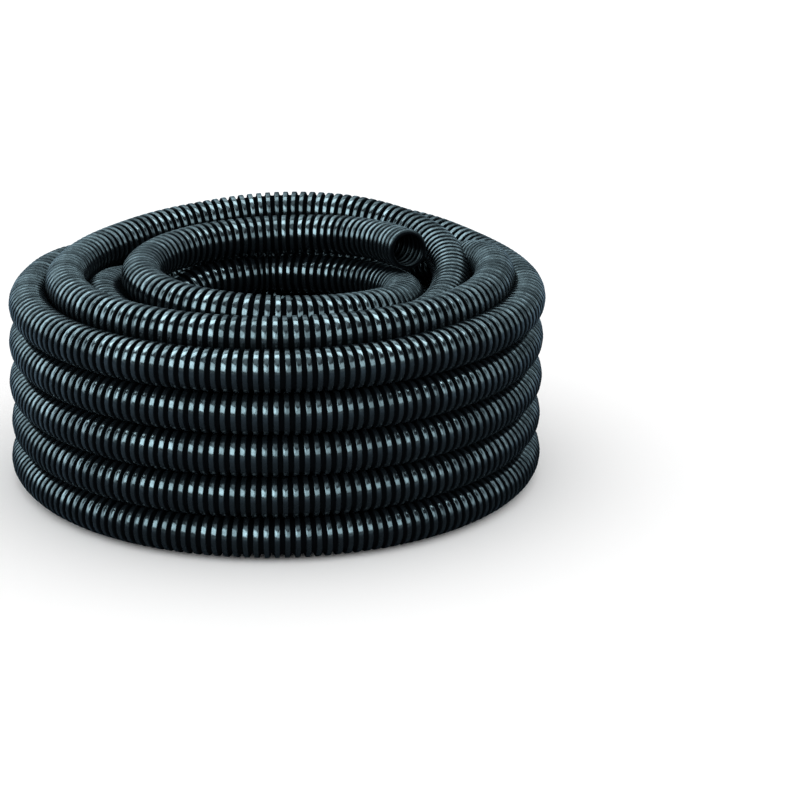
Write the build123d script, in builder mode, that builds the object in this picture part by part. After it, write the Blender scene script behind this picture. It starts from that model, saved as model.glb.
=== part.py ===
from build123d import *
import math
import os

os.makedirs("parts", exist_ok=True)

# Conduit section, all sizes in mm
outside_radius = 10.6      # over the rib crests
bore_radius = 8.3          # inside, under the rib valleys
wall = 0.4
rib_pitch = 4.8
crest_share = 0.4          # part of the pitch taken by a crest land
valley_share = 0.3         # part of the pitch taken by a valley land
end_rib_count = 4          # real ribs on the straight stretch behind the mouth

# Wound turns: columns of turns side by side, outermost first
coil_radius = 138.6        # to the outside of the outer turns
outer_turns = 5            # the next two columns have as many
turns_missing = 2          # innermost turns whose place the loose end takes
column_clearance = 1.05    # between turns of neighbouring columns that nest
inner_clearance = 0.3      # between the third column and the innermost one
second_column_lift = 0.5   # in turn steps
inner_column_lift = 0.3    # in turn steps
groove_floor = 4.0         # how far the filling between columns reaches past the turn centres
side_floor = 2.0           # the same between turns that lie on each other
turn_sides = 12            # flats that stand for the round section of a wound turn

# Loose end: the last turn and a half, from the cut mouth down into the innermost turns
rest_clearance = 0.4       # between the loose end and the wound turn it passes over
mouth_offset = 2.9         # from the innermost column out to the mouth
mouth_angle = 8.2          # degrees round the coil, from straight right
mouth_rise = 1.59          # in turn steps, above the lowest free point of the route
mouth_heading = 18.0       # degrees, turn of the straight stretch away from straight back
mouth_slope = 5.0          # degrees, how steeply the straight stretch falls from the mouth
first_run = 46.8           # from the mouth to the first corner of the route
corner_step = 45.0         # degrees between corners of the route
bend_share = 0.45          # part of the shorter neighbouring run that a bend takes
open_runs = 3              # runs of the route that are hollow, counted from the mouth
dive_depth = 3.4           # how far below the turn's centre the route ends inside it
dive_offset = 1.1          # how far outside the turn's centre it ends

# The route's corners after the first one, from straight back and on by corner_step:
# how far outside the innermost column, and how many turn steps above the resting turn
route_offset = [0.0, 1.0, 1.7, 0.7, 0.1, -0.7, -0.9, -0.5, 0.0]
route_rise = [1.25, 1.22, 1.21, 1.17, 1.09, 0.90, 0.54, 0.20, 0.0]

# Places of the turns
turn_step = 2 * outside_radius
nested_reach = turn_step + column_clearance
column_step = math.sqrt(nested_reach ** 2 - (second_column_lift * turn_step) ** 2)
outer_column = coil_radius - outside_radius
second_column = outer_column - column_step
third_column = second_column - column_step
inner_column = third_column - turn_step - inner_clearance
outer_z = [outside_radius + n * turn_step for n in range(outer_turns)]
second_z = [z + second_column_lift * turn_step for z in outer_z]
inner_z = [z + inner_column_lift * turn_step for z in outer_z[:outer_turns - turns_missing]]

turn_centres = [(outer_column, z) for z in outer_z]
turn_centres += [(second_column, z) for z in second_z]
turn_centres += [(third_column, z) for z in outer_z]
turn_centres += [(inner_column, z) for z in inner_z]

# Filling between the turns, seen in the half plane that is turned round the coil axis
filling_corners = [
    (outer_column + side_floor, outer_z[0]),
    (outer_column + side_floor, outer_z[-1]),
    (outer_column, outer_z[-1] + groove_floor),
    (second_column, second_z[-1] + groove_floor),
    (third_column, outer_z[-1] + groove_floor),
    (third_column - side_floor, outer_z[-1]),
    (third_column - side_floor, inner_z[-1] + groove_floor),
    (inner_column, inner_z[-1] + groove_floor),
    (inner_column - side_floor, inner_z[-1]),
    (inner_column - side_floor, inner_z[0]),
    (inner_column, inner_z[0] - groove_floor),
    (third_column, outer_z[0] - groove_floor),
    (second_column, second_z[0] - groove_floor),
    (outer_column, outer_z[0] - groove_floor),
]

# Route of the loose end: straight runs joined by tangent arcs
rest_z = inner_z[-1] + turn_step + rest_clearance
heading, slope = math.radians(mouth_heading), math.radians(mouth_slope)
inward = Vector(-math.sin(heading), math.cos(heading), -math.tan(slope)).normalized()
mouth_reach = inner_column + mouth_offset
mouth = Vector(mouth_reach * math.cos(math.radians(mouth_angle)),
               mouth_reach * math.sin(math.radians(mouth_angle)),
               rest_z + mouth_rise * turn_step)
corners = [mouth, mouth + inward * first_run]
spread = 1 / math.cos(math.radians(corner_step / 2))
places = [(inner_column + offset, rest_z + rise * turn_step) for offset, rise in zip(route_offset, route_rise)]
places.append((inner_column + dive_offset, inner_z[-1] - dive_depth))
for n, (reach, height) in enumerate(places):
    angle = math.radians(90 + n * corner_step)
    corners.append(Vector(reach * spread * math.cos(angle), reach * spread * math.sin(angle), height))

bend_radii = []
for before, here, after in zip(corners, corners[1:], corners[2:]):
    arriving, leaving = here - before, after - here
    half_turn = math.radians(arriving.get_angle(leaving)) / 2
    bend_radii.append(bend_share * min(arriving.length, leaving.length) / math.tan(half_turn))
print("bend radii", [round(radius, 1) for radius in bend_radii])

# The straight stretch with its real ribs, drawn from the mouth inwards. The tube is cut
# through a valley, and the last flank rises to the plain tube.
crest, valley = crest_share * rib_pitch, valley_share * rib_pitch
flank = (rib_pitch - crest - valley) / 2
stretch = valley / 2 + end_rib_count * rib_pitch + flank
outer_line, inner_line = [(bore_radius + wall, 0)], [(bore_radius, 0)]
for line, high, low in ((outer_line, outside_radius, bore_radius + wall),
                        (inner_line, outside_radius - wall, bore_radius)):
    for n in range(end_rib_count):
        rise = valley / 2 + n * rib_pitch
        line += [(low, rise), (high, rise + flank), (high, rise + flank + crest),
                 (low, rise + 2 * flank + crest)]
    line += [(low, stretch - flank), (high, stretch)]
side = Vector(0, 0, 1).cross(inward)
smooth_start = mouth + inward * stretch

with BuildPart() as conduit_coil:
    # The wound turns, as one turned solid with its bore
    with BuildSketch(Plane.XZ):
        with BuildLine():
            Polyline(*filling_corners, close=True)
        make_face()
        with Locations(*turn_centres):
            RegularPolygon(outside_radius, turn_sides, major_radius=False, rotation=180 / turn_sides)
    revolve(axis=Axis.Z)
    # The ribbed stretch at the mouth
    with BuildSketch(Plane(origin=mouth, x_dir=side, z_dir=side.cross(inward))):
        with BuildLine():
            Polyline(*(outer_line + inner_line[::-1]), close=True)
        make_face()
    revolve(axis=Axis(mouth, inward))
    # The rest of the loose end, which sinks into the turns at its lower end
    with BuildLine() as route:
        FilletPolyline(smooth_start, *corners[1:], radius=bend_radii)
    with BuildSketch(Plane(origin=smooth_start, x_dir=side, z_dir=inward)):
        Circle(outside_radius)
    sweep(path=route.wires()[0])
    # The stretch behind the mouth is hollow, the rest is closed
    with BuildLine() as hollow_route:
        FilletPolyline(mouth, *corners[1:open_runs], (corners[open_runs - 1] + corners[open_runs]) * 0.5,
                       radius=bend_radii[:open_runs - 1])
    with BuildSketch(Plane(origin=mouth, x_dir=side, z_dir=inward)):
        Circle(bore_radius)
    sweep(path=hollow_route.wires()[0], mode=Mode.SUBTRACT)
conduit_coil.part.label = "conduit_coil"
export_step(conduit_coil.part, "parts/conduit_coil.step")
print("solids", len(conduit_coil.part.solids()), "volume", round(conduit_coil.part.volume),
      "route length", round(route.wires()[0].length + stretch, 1))
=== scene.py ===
import math
import bpy
import numpy as np
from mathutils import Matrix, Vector


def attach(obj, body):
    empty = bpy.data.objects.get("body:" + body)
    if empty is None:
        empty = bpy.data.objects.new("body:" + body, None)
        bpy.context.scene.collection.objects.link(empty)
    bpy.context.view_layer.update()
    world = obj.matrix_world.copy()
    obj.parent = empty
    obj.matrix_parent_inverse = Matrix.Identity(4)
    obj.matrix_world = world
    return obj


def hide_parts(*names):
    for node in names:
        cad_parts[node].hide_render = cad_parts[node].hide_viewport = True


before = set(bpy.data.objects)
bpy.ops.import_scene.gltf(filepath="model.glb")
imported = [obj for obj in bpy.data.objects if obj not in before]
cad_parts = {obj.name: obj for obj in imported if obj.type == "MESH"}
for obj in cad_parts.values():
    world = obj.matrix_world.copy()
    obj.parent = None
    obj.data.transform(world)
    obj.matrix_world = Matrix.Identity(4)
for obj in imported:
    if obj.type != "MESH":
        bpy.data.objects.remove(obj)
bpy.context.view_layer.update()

# The view of the photograph: a long lens at arm's height, looking down on the coil that
# lies on a white table. The image is square, so the sensor width sets the field of view.
camera_data = bpy.data.cameras.new("camera")
camera_data.sensor_fit = "HORIZONTAL"
camera_data.sensor_width = 36.0
camera_data.lens = 128.53
camera = bpy.data.objects.new("camera", camera_data)
camera.location = (0.0, -1.4210, 0.5303)
camera.rotation_euler = Vector((0.04293, 0.94349, -0.32862)).to_track_quat("-Z", "Y").to_euler()
bpy.context.scene.collection.objects.link(camera)
bpy.context.scene.camera = camera

# The conduit's route: one length of corrugated tube, wound by hand from the inside out.
# It starts at the cut mouth on top, goes down inside the coil, climbs the third column,
# crosses to the second, goes down, and climbs the outer column to its hidden outer end.
tube_radius = 0.0106
turn_step = 0.0212
column_radius = {"inner": 0.06738, "third": 0.08887, "second": 0.10844, "outer": 0.1280}
column_lift = {"inner": 0.3, "third": 0.0, "second": 0.5, "outer": 0.0}


def level(column, turn):
    """Height of a turn's centre: the tube's radius plus whole turns, and the column's lift."""
    return tube_radius + (turn + column_lift[column]) * turn_step


def ease(angle, start, end):
    """Share of a step that is done at an angle: a smooth S from 0 at start to 1 at end."""
    t = np.clip((angle - start) / (end - start), 0.0, 1.0)
    return t * t * (3 - 2 * t)


# Steps in the order that the tube takes them: where each starts and ends round the coil,
# in degrees from the right-hand side, and the column and turn that it leads to.
steps = [(480, 560, "inner", 2), (820, 900, "inner", 1), (1210, 1260, "inner", 0),
         (1540, 1590, "third", 0)]
steps += [(1860 + 360 * n, 1910 + 360 * n, "third", n + 1) for n in range(3)]
steps += [(2980, 3065, "third", 4), (3225, 3295, "second", 4)]
steps += [(3608 + 360 * n, 3648 + 360 * n, "second", 3 - n) for n in range(4)]
steps += [(5165, 5205, "outer", 0), (5480, 5525, "outer", 1)]
steps += [(5855, 5905, "outer", 2), (6215, 6265, "outer", 3), (6580, 6636, "outer", 4)]
route_end = 6935.0

# The loose end's corners, as in the solid model: reach and height at every eighth of a turn.
# At its lower end it lies a little higher than there, close under its own first turn.
corner_step = 45
corner_cut = math.cos(math.pi / 8)      # how far the smooth line stays inside its corners
resting_height = 0.08096                # of a loose turn that rests on the innermost column
loose_reach = np.array([0.0, 1.0, 1.7, 0.7, 0.1, -0.7, -0.9, -0.5, 0.0]) / 1000 + column_radius["inner"]
loose_height = resting_height + np.array([1.22, 1.19, 1.20, 1.17, 1.09, 0.90, 0.56, 0.30, 0.21]) * turn_step
loose_angle = np.radians(90 + corner_step * np.arange(len(loose_reach)))
loose_points = np.stack([loose_reach * np.cos(loose_angle), loose_reach * np.sin(loose_angle),
                         loose_height * corner_cut], axis=1) / corner_cut

# The straight stretch behind the mouth, which sags a little at its far end
mouth = np.array([0.069556, 0.010023, 0.114668])
inward = np.array([-0.307841, 0.947437, -0.087156])
first_run, first_sag = 0.0468, 0.0007
loose_points = np.vstack([mouth, mouth + first_run * inward - (0, 0, first_sag), loose_points])

# The wound turns, from where the loose end has come to rest
wound_start, wound_step = 470.0, 15.0
wound_angle = np.arange(wound_start, route_end + 1, wound_step)
wound_reach = np.full(wound_angle.shape, column_radius["inner"])
wound_height = np.full(wound_angle.shape, loose_height[-1])
last_column, last_height = "inner", loose_height[-1]
for start, end, column, turn in steps:
    share = ease(wound_angle, start, end)
    wound_reach += share * (column_radius[column] - column_radius[last_column])
    wound_height += share * (level(column, turn) - last_height)
    last_column, last_height = column, level(column, turn)
# Where the tube crosses or leans on another it bulges: from, fully from, fully to and to, in
# degrees, then how far outwards and how far up
bulges = [(3280, 3312, 3325, 3360, 0.0, 0.0040), (3355, 3386, 3406, 3432, -0.0014, -0.0019),
          (3520, 3575, 3608, 3660, 0.0046, 0.0), (5165, 5183, 5187, 5205, 0.0, -0.0024),
          (5190, 5212, 5220, 5246, 0.0015, 0.0), (6430, 6465, 6500, 6535, 0.0004, 0.0),
          (6570, 6612, 6644, 6680, -0.0012, -0.0007), (6790, 6820, 6832, 6868, 0.0021, 0.0),
          (6866, 6898, 6990, 7000, 0.0, 0.0047)]
for start, full, fade, end, outwards, upwards in bulges:
    share = ease(wound_angle, start, full) - ease(wound_angle, fade, end)
    wound_reach += share * outwards
    wound_height += share * upwards
# Hand winding leaves each turn a little out of round, in slow waves: how deep, how many in
# a turn, and where the first one starts
turn_angle = np.radians(wound_angle)
for depth, waves, shift in ((0.00035, 0.73, 0.4), (0.00025, 2.31, 0.0)):
    wound_reach += depth * np.sin(turn_angle * waves + shift)
wound_spread = 1 / math.cos(math.radians(wound_step / 2))
wound_points = np.stack([wound_reach * wound_spread * np.cos(turn_angle),
                         wound_reach * wound_spread * np.sin(turn_angle), wound_height], axis=1)


def nurbs_line(name, points):
    """Points along a smooth NURBS line that has the given points as its control points."""
    data = bpy.data.curves.new(name, "CURVE")
    data.dimensions = "3D"
    spline = data.splines.new("NURBS")
    spline.points.add(len(points) - 1)
    spline.points.foreach_set("co", np.hstack([points, np.ones((len(points), 1))]).ravel())
    spline.order_u = 3
    spline.use_endpoint_u = True
    spline.resolution_u = 12
    holder = bpy.data.objects.new(name, data)
    bpy.context.scene.collection.objects.link(holder)
    mesh = bpy.data.meshes.new_from_object(holder)
    line = np.empty(len(mesh.vertices) * 3)
    mesh.vertices.foreach_get("co", line)
    bpy.data.meshes.remove(mesh)
    bpy.data.objects.remove(holder)
    bpy.data.curves.remove(data)
    return line.reshape(-1, 3)


line = nurbs_line("conduit_route", np.vstack([loose_points, wound_points]))
line_length = np.concatenate([[0.0], np.cumsum(np.linalg.norm(np.diff(line, axis=0), axis=1))])
line_angle = np.degrees(np.unwrap(np.arctan2(line[:, 1], line[:, 0])))
line_along = np.gradient(line, line_length, axis=0)
line_along /= np.linalg.norm(line_along, axis=1, keepdims=True)
print("conduit length m", round(line_length[-1], 3))

# The black corrugated tube: a nylon extrusion, blown into ribs by the chain of moulds that
# it passes through. Each rib has a flat crest, steep flanks and a flat valley.
rib_pitch = 0.0048
wall = 0.0004
crest_middle = 0.5
# One rib from the middle of a valley: share of the pitch, and depth under the crest in mm.
# Turns that the photograph hardly shows have the plain one, and hidden turns the rough one.
rib_fine = np.array([(0.00, 1.90), (0.15, 1.83), (0.20, 1.38), (0.24, 0.36), (0.27, 0.08), (0.32, 0.018),
                     (crest_middle, 0.0), (0.68, 0.018), (0.73, 0.08), (0.76, 0.36), (0.80, 1.38),
                     (0.85, 1.83)])
rib_plain = np.array([(0.00, 1.90), (0.19, 1.50), (0.265, 0.15), (0.34, 0.0), (0.66, 0.0), (0.735, 0.15),
                      (0.81, 1.50)])
rib_rough = np.array([(0.00, 1.90), (0.25, 0.6), (crest_middle, 0.0), (0.75, 0.6)])

# No two ribs come out of the moulds quite alike: each leans by some hundredths of a
# millimetre, and its crest is hollow by a few of them. Below 0 mm the crest is flat.
shape_chance = np.random.RandomState(21)
rib_total = int(line_length[-1] / rib_pitch) + 2
rib_lean = shape_chance.uniform(0.00, 0.00016, rib_total)
rib_lean_angle = shape_chance.uniform(0, 2 * np.pi, rib_total)
rib_hollow = shape_chance.uniform(-0.05, 0.04, rib_total)


def tube_surface(first_rib, ribs, sides, rib, inset=0.0):
    """Rings of a ribbed tube along the route: the ring at a length stands square to the line
    there, and its radius is the rib's outline at that share of the pitch, less the inset. A
    rib's crest is shifted along the line by its lean times the cosine of the angle round it."""
    share = np.append((np.arange(ribs)[:, None] + rib[None, :, 0]).ravel(), ribs)
    number = first_rib + np.append(np.repeat(np.arange(ribs), len(rib)), ribs - 1)
    depth = np.append(np.tile(rib[:, 1], ribs), rib[0, 1])
    depth += rib_hollow[number] * np.append(np.tile(rib[:, 0] == crest_middle, ribs), False)
    depth = np.maximum(depth, 0.0) / 1000
    length = (first_rib + share) * rib_pitch
    centre = np.stack([np.interp(length, line_length, line[:, k]) for k in range(3)], axis=1)
    along = np.stack([np.interp(length, line_length, line_along[:, k]) for k in range(3)], axis=1)
    along /= np.linalg.norm(along, axis=1, keepdims=True)
    side = np.cross(along, (0.0, 0.0, 1.0))
    side /= np.linalg.norm(side, axis=1, keepdims=True)
    up = np.cross(side, along)
    turn = np.linspace(0, 2 * np.pi, sides, endpoint=False)
    radius = (tube_radius - depth - inset)[:, None, None]
    rings = centre[:, None, :] + radius * (np.cos(turn)[None, :, None] * side[:, None, :]
                                           + np.sin(turn)[None, :, None] * up[:, None, :])
    high = np.append(np.tile(1 - rib[:, 1] / rib[0, 1], ribs), 0.0)
    lean = rib_lean[number, None] * np.cos(turn[None, :] - rib_lean_angle[number, None]) * high[:, None]
    return rings + lean[:, :, None] * along[:, None, :], length


def ring_faces(ring_count, sides, outwards=True):
    """Four-sided faces between neighbouring rings, wound to face out of the tube or into it."""
    ring = np.arange(ring_count - 1)[:, None] * sides
    here = np.arange(sides)[None, :]
    after = (here + 1) % sides
    faces = np.stack([ring + here, ring + after, ring + sides + after, ring + sides + here], axis=2)
    faces = faces.reshape(-1, 4)
    return faces if outwards else faces[:, ::-1]


def mesh_object(name, vertices, faces, caps):
    """A smooth-shaded mesh of four-sided faces and of caps, each a closed ring of vertices.
    Gives back the object and the vertex number at each corner of each face."""
    mesh = bpy.data.meshes.new(name)
    mesh.vertices.add(len(vertices))
    mesh.vertices.foreach_set("co", vertices.ravel())
    corners = np.concatenate([faces.ravel()] + caps)
    starts = np.concatenate([np.arange(len(faces)) * 4,
                             len(faces) * 4 + np.cumsum([0] + [len(cap) for cap in caps[:-1]])])
    mesh.loops.add(len(corners))
    mesh.loops.foreach_set("vertex_index", corners.astype(np.int32))
    mesh.polygons.add(len(starts))
    mesh.polygons.foreach_set("loop_start", starts.astype(np.int32))
    mesh.polygons.foreach_set("use_smooth", np.ones(len(starts), dtype=bool))
    mesh.update(calc_edges=True)
    made = bpy.data.objects.new(name, mesh)
    bpy.context.scene.collection.objects.link(made)
    return made, corners


# What the map "along" has added to its first value on the inside of the tube
inside_mark = 2.0


def map_along(mesh, corners, wall_faces, sides, vertex_length, inside_start):
    """Writes the map "along", for each corner: the share of the way round the tube, and the
    metres along it. In the face that closes a ring the share ends at 1 in place of 0."""
    around = (corners % sides) / sides
    walls = corners[:4 * wall_faces]
    closing = np.repeat((walls.reshape(-1, 4) % sides == sides - 1).any(axis=1), 4)
    around[:len(walls)] += closing & (walls % sides == 0)
    around += inside_mark * (corners >= inside_start)
    layer = mesh.uv_layers.new(name="along")
    pairs = np.stack([around, vertex_length[corners]], axis=1)
    layer.data.foreach_set("uv", pairs.ravel().astype(np.float32))


def conduit_piece(name, first_rib, ribs, sides, rib, open_start=0, open_end=0):
    """A closed stretch of tube: the ribbed outside, and a flat cap at each end, or, at a cut
    end, the ribbed inside one wall further in, for the given number of ribs, joined to the
    outside at the cut and closed deep inside."""
    rings, length = tube_surface(first_rib, ribs, sides, rib)
    vertices, faces = rings.reshape(-1, 3), ring_faces(len(rings), sides)
    vertex_length = np.repeat(length, sides)
    inside_start = len(vertices)
    here, after = np.arange(sides), (np.arange(sides) + 1) % sides
    caps = []
    for open_ribs, at_end in ((open_start, False), (open_end, True)):
        cut_ring = (len(rings) - 1) * sides if at_end else 0
        if not open_ribs:
            caps.append(here + cut_ring if at_end else here[::-1])
            continue
        first_inner = first_rib + (ribs - open_ribs) * at_end
        inner, inner_length = tube_surface(first_inner, open_ribs, sides, rib, wall)
        first_ring, last_ring = len(vertices), len(vertices) + (len(inner) - 1) * sides
        inner_cut, deep_ring = (last_ring, first_ring) if at_end else (first_ring, last_ring)
        vertices = np.vstack([vertices, inner.reshape(-1, 3)])
        vertex_length = np.concatenate([vertex_length, np.repeat(inner_length, sides)])
        rim = np.stack([here + cut_ring, here + inner_cut, after + inner_cut, after + cut_ring], axis=1)
        faces = np.vstack([faces, ring_faces(len(inner), sides, False) + first_ring,
                           rim[:, ::-1] if at_end else rim])
        caps.append(here[::-1] + deep_ring if at_end else here + deep_ring)
    made, corners = mesh_object(name, vertices, faces, caps)
    map_along(made.data, corners, len(faces), sides, vertex_length, inside_start)
    return made


def rib_at(angle):
    """The rib, counted from the mouth, whose valley is nearest an angle round the coil."""
    return int(round(np.interp(angle, line_angle, line_length) / rib_pitch))


# The tube in stretches that meet at the bottom of a valley: name, first and last rib, sides,
# rib outline, and how many ribs deep it is open at its start and at its end
loose_rib, last_rib = rib_at(540), int(line_length[-1] / rib_pitch)
stretches = [("loose_end", 0, loose_rib, 26, rib_fine, 30, 0),
             ("inner_turns", loose_rib, rib_at(1565), 20, rib_plain, 0, 0),
             ("third_turns_low", rib_at(1565), rib_at(2560), 12, rib_rough, 0, 0),
             ("third_turns_high", rib_at(2560), rib_at(2870), 18, rib_plain, 0, 0),
             ("third_turn_top", rib_at(2870), rib_at(3288), 24, rib_fine, 0, 0),
             ("second_turn_top", rib_at(3288), rib_at(3660), 24, rib_fine, 0, 0),
             ("second_turns_hidden", rib_at(3660), rib_at(5150), 12, rib_rough, 0, 0),
             ("outer_turns_low", rib_at(5150), rib_at(5790), 20, rib_fine, 0, 0),
             ("outer_turns_middle", rib_at(5790), rib_at(6360), 20, rib_fine, 0, 0),
             ("outer_turns_high", rib_at(6360), last_rib, 20, rib_fine, 0, 20)]
conduit_pieces = [conduit_piece(name, start, end - start, sides, rib, open_start, open_end)
                  for name, start, end, sides, rib, open_start, open_end in stretches]


def node(tree, kind, settings=(), **inputs):
    """A node of this kind in a node tree, with its settings and its inputs, where _0 is the
    first input: a value is set on the socket, and another node's output is linked to it."""
    made = tree.nodes.new(kind)
    for name, value in settings:
        setattr(made, name, value)
    for name, value in inputs.items():
        socket = made.inputs[int(name[1:])] if name[1:].isdigit() else made.inputs[name]
        if isinstance(value, bpy.types.NodeSocket):
            tree.links.new(value, socket)
        else:
            socket.default_value = value
    return made


def math_node(operation, first, second=0.0):
    """The output of a Math node that works on an output and a second value."""
    return node(first.id_data, "ShaderNodeMath", [("operation", operation)], _0=first, _1=second).outputs[0]


def band(value, low, high, to_low, to_high):
    """The output of a Map Range node: from to_low at low to to_high at high, in a smooth S."""
    return node(value.id_data, "ShaderNodeMapRange", [("interpolation_type", "SMOOTHSTEP")], _0=value,
                _1=low, _2=high, _3=to_low, _4=to_high).outputs[0]


def colour_mix(share, first, second):
    """The output of a Mix node: the first colour where the share is 0, the second where it is 1."""
    return node(share.id_data, "ShaderNodeMix", [("data_type", "RGBA")], _0=share, _6=first,
                _7=second).outputs[2]


# Black nylon. The rib crests were pressed against polished mould faces and are glossy; the
# valleys stayed dull, and the tube has a fine, uneven skin from the extruder.
plastic = bpy.data.materials.new("black_nylon")
plastic.use_nodes = True
plastic_tree = plastic.node_tree
shader = plastic_tree.nodes["Principled BSDF"]
shader.inputs["Specular IOR Level"].default_value = 0.0
shader.inputs["Coat Roughness"].default_value = 0.17
shader.inputs["Coat IOR"].default_value = 1.52

object_place = node(plastic_tree, "ShaderNodeTexCoord").outputs["Object"]
skin = node(plastic_tree, "ShaderNodeTexNoise", Vector=object_place, Scale=420.0, Detail=2.0).outputs[0]
along_map = node(plastic_tree, "ShaderNodeUVMap", [("uv_map", "along")]).outputs[0]
along_tube = node(plastic_tree, "ShaderNodeSeparateXYZ", _0=along_map).outputs
ribs_passed = math_node("DIVIDE", along_tube["Y"], rib_pitch)
rib_share = math_node("FRACT", ribs_passed)
crest = band(math_node("ABSOLUTE", math_node("SUBTRACT", rib_share, crest_middle)), 0.15, 0.31, 1.0, 0.0)
# Painted shade: the valleys get a darker base colour than the crests.
plastic_tree.links.new(colour_mix(crest, (0.0022, 0.0030, 0.0038, 1), (0.0065, 0.0095, 0.0118, 1)),
                       shader.inputs["Base Color"])
plastic_tree.links.new(band(crest, 0.0, 1.0, 0.85, 0.42), shader.inputs["Roughness"])

# The gloss is uneven from rib to rib and over the skin. Inside the tube it lies on the
# valleys, which stand inwards there, and it is far weaker.
rib_chance = node(plastic_tree, "ShaderNodeTexWhiteNoise", [("noise_dimensions", "1D")],
                  W=math_node("FLOOR", ribs_passed)).outputs["Value"]
inside = math_node("GREATER_THAN", along_tube["X"], inside_mark - 0.5)
gloss = math_node("ABSOLUTE", math_node("SUBTRACT", crest, inside))
polish = math_node("MULTIPLY", band(rib_chance, 0.0, 1.0, 0.5, 1.0), band(skin, 0.35, 0.65, 0.7, 1.0))
polish = math_node("MULTIPLY", polish, band(inside, 0.0, 1.0, 1.0, 0.12))
plastic_tree.links.new(math_node("MULTIPLY", gloss, polish), shader.inputs["Coat Weight"])
bump = node(plastic_tree, "ShaderNodeBump", Height=skin, Strength=0.35, Distance=0.00012)
plastic_tree.links.new(bump.outputs[0], shader.inputs["Normal"])
for piece in conduit_pieces:
    piece.data.materials.append(plastic)
    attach(piece, "root")
    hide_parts("conduit_coil")

# A plain white floor, which is not part of the object. In the gloss of the tubes its colour is a painted
# reflection, dimmer and bluer than the camera sees it, with painted shadow darkest near the coil.
floor_height = -0.0001
floor_mesh = bpy.data.meshes.new("floor")
floor_mesh.from_pydata([(-8, -4, floor_height), (8, -4, floor_height), (8, 14, floor_height),
                        (-8, 14, floor_height)], [], [(0, 1, 2, 3)])
floor = bpy.data.objects.new("floor", floor_mesh)
bpy.context.scene.collection.objects.link(floor)
floor_paint = bpy.data.materials.new("floor_paint")
floor_paint.use_nodes = True
floor_tree = floor_paint.node_tree
floor_shader = floor_tree.nodes["Principled BSDF"]
floor_shader.inputs["Roughness"].default_value = 1.0
floor_shader.inputs["Specular IOR Level"].default_value = 0.0
floor_place = node(floor_tree, "ShaderNodeTexCoord").outputs["Object"]
from_coil = node(floor_tree, "ShaderNodeVectorMath", [("operation", "DISTANCE")], _0=floor_place,
                 _1=(0.075, 0.0, floor_height)).outputs["Value"]
shadow_fade = node(floor_tree, "ShaderNodeMapRange", _0=from_coil, _1=0.14, _2=0.42).outputs[0]
# Painted reflection: glossy rays see a dim blue floor, with painted shadow near the coil that fades out by
# 0.42 m.
painted_floor_reflection = colour_mix(shadow_fade, (0.03, 0.05, 0.07, 1), (0.30, 0.48, 0.64, 1))
floor_ray = node(floor_tree, "ShaderNodeLightPath").outputs["Is Glossy Ray"]
floor_colour = colour_mix(floor_ray, (0.98, 0.98, 0.98, 1), painted_floor_reflection)
floor_tree.links.new(floor_colour, floor_shader.inputs["Base Color"])
floor_mesh.materials.append(floor_paint)

# Soft studio light. The white room lights the floor and the tubes. In the gloss of the tubes
# it is mirrored as pale walls above the floor, brightest at the left.
bpy.context.scene.view_settings.view_transform = "Standard"
world = bpy.data.worlds.new("world")
world.use_nodes = True
world_tree = world.node_tree
room = world_tree.nodes["Background"]
room.inputs["Color"].default_value = (1.0, 1.0, 1.0, 1)
room.inputs["Strength"].default_value = 1.16

# Each wall is a strength that bands of direction bound: X is to the right, Y is away from
# the camera and Z is up, as parts of a direction one long
world_place = node(world_tree, "ShaderNodeTexCoord").outputs["Generated"]
direction = node(world_tree, "ShaderNodeSeparateXYZ", _0=world_place).outputs
left_and_right = band(direction["X"], -0.2, 0.3, 10.0, 5.2)
side_rise = band(direction["Y"], -0.5, -0.15, 0.0, left_and_right)
side_far = band(direction["Y"], 0.42, 0.95, side_rise, 0.2)
side_near = band(direction["Y"], 0.15, 0.55, side_rise, 0.1)
side_wall = band(direction["X"], -0.1, 0.1, side_far, side_near)
side_foot = band(direction["Z"], 0.0, 0.22, 1.2, side_wall)
side_part = band(direction["Z"], 0.33, 0.58, side_foot, 0.05)
back_left = band(direction["X"], -0.3, -0.05, 5.6, 1.1)
back_both = band(direction["X"], 0.2, 0.4, back_left, 3.6)
back_wall = band(direction["Y"], 0.1, 0.4, 0.0, back_both)
back_foot = band(direction["Z"], 0.28, 0.48, 0.3, back_wall)
back_part = band(direction["Z"], 0.82, 0.95, back_foot, 0.05)
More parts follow.
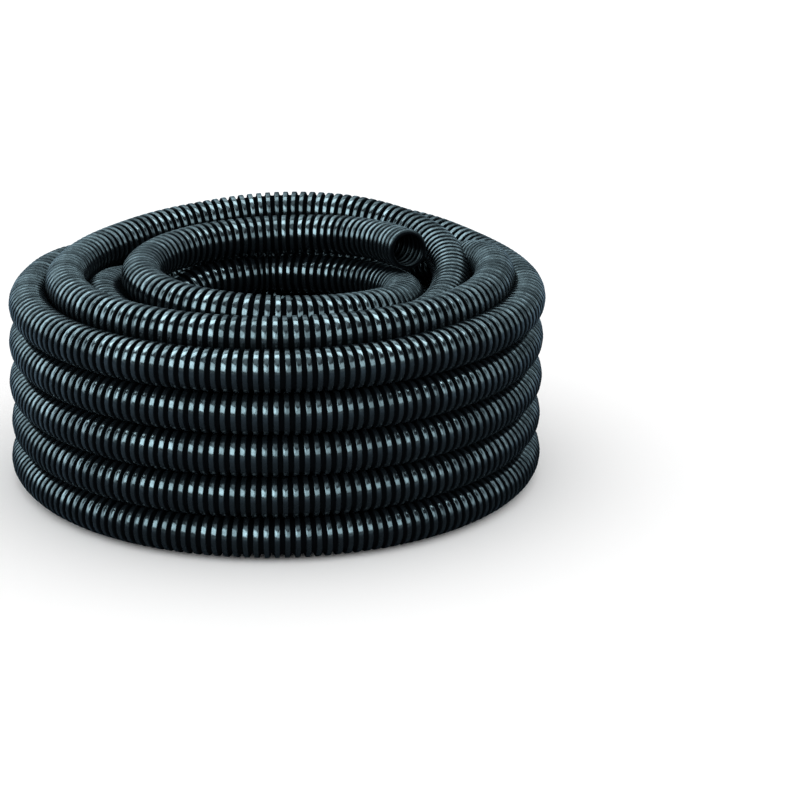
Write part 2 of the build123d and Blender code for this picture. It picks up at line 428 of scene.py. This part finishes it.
front_wall = band(direction["Y"], -0.1, 0.0, 3.4, 0.0)
front_left = band(direction["X"], -0.5, -0.25, 0.0, front_wall)
front_both = band(direction["X"], 0.25, 0.5, front_left, 0.0)
front_part = band(direction["Z"], 0.72, 0.86, 0.0, front_both)
all_parts = math_node("ADD", math_node("ADD", side_part, back_part), front_part)
walls = node(world_tree, "ShaderNodeBackground", Color=(0.60, 0.88, 1.0, 1), Strength=all_parts)
world_ray = node(world_tree, "ShaderNodeLightPath").outputs["Is Glossy Ray"]
either = node(world_tree, "ShaderNodeMixShader", _0=world_ray, _1=room.outputs[0], _2=walls.outputs[0])
world_tree.links.new(either.outputs[0], world_tree.nodes["World Output"].inputs["Surface"])
bpy.context.scene.world = world

# Four large soft boxes, which show only in the gloss: two in front, one above, and a weak
# one above the back. All stand at the same distance from the middle of the coil.
box_distance = 1.9
coil_middle = Vector((0, 0, 0.06))
side_tint, top_tint = (0.60, 0.89, 1.0), (0.62, 0.90, 1.0)


def soft_box(name, elevation, azimuth, width, height, radiance, tint):
    """A rectangular soft light that looks at the coil from an elevation and an azimuth, in
    degrees, where azimuth 0 is the camera's side and more is to its right. An elevation past
    90 lies behind the coil's top, and left and right change sides there."""
    rise, swing = math.radians(elevation), math.radians(azimuth)
    towards = Vector((math.cos(rise) * math.sin(swing), -math.cos(rise) * math.cos(swing), math.sin(rise)))
    data = bpy.data.lights.new(name, "AREA")
    data.shape, data.size, data.size_y = "RECTANGLE", width, height
    data.energy, data.color = radiance * math.pi * width * height, tint
    box = bpy.data.objects.new(name, data)
    box.location = towards * box_distance + coil_middle
    box.rotation_euler = towards.to_track_quat("Z", "Y").to_euler()
    box.visible_diffuse = False
    bpy.context.scene.collection.objects.link(box)


soft_box("left_box", 32, -38, 2.2, 1.1, 20.0, side_tint)
soft_box("right_box", 26, 30, 2.6, 0.9, 11.0, side_tint)
soft_box("top_box", 98, 0, 3.2, 0.85, 23.0, top_tint)
soft_box("rear_box", 130, 20, 2.0, 0.9, 3.0, top_tint)
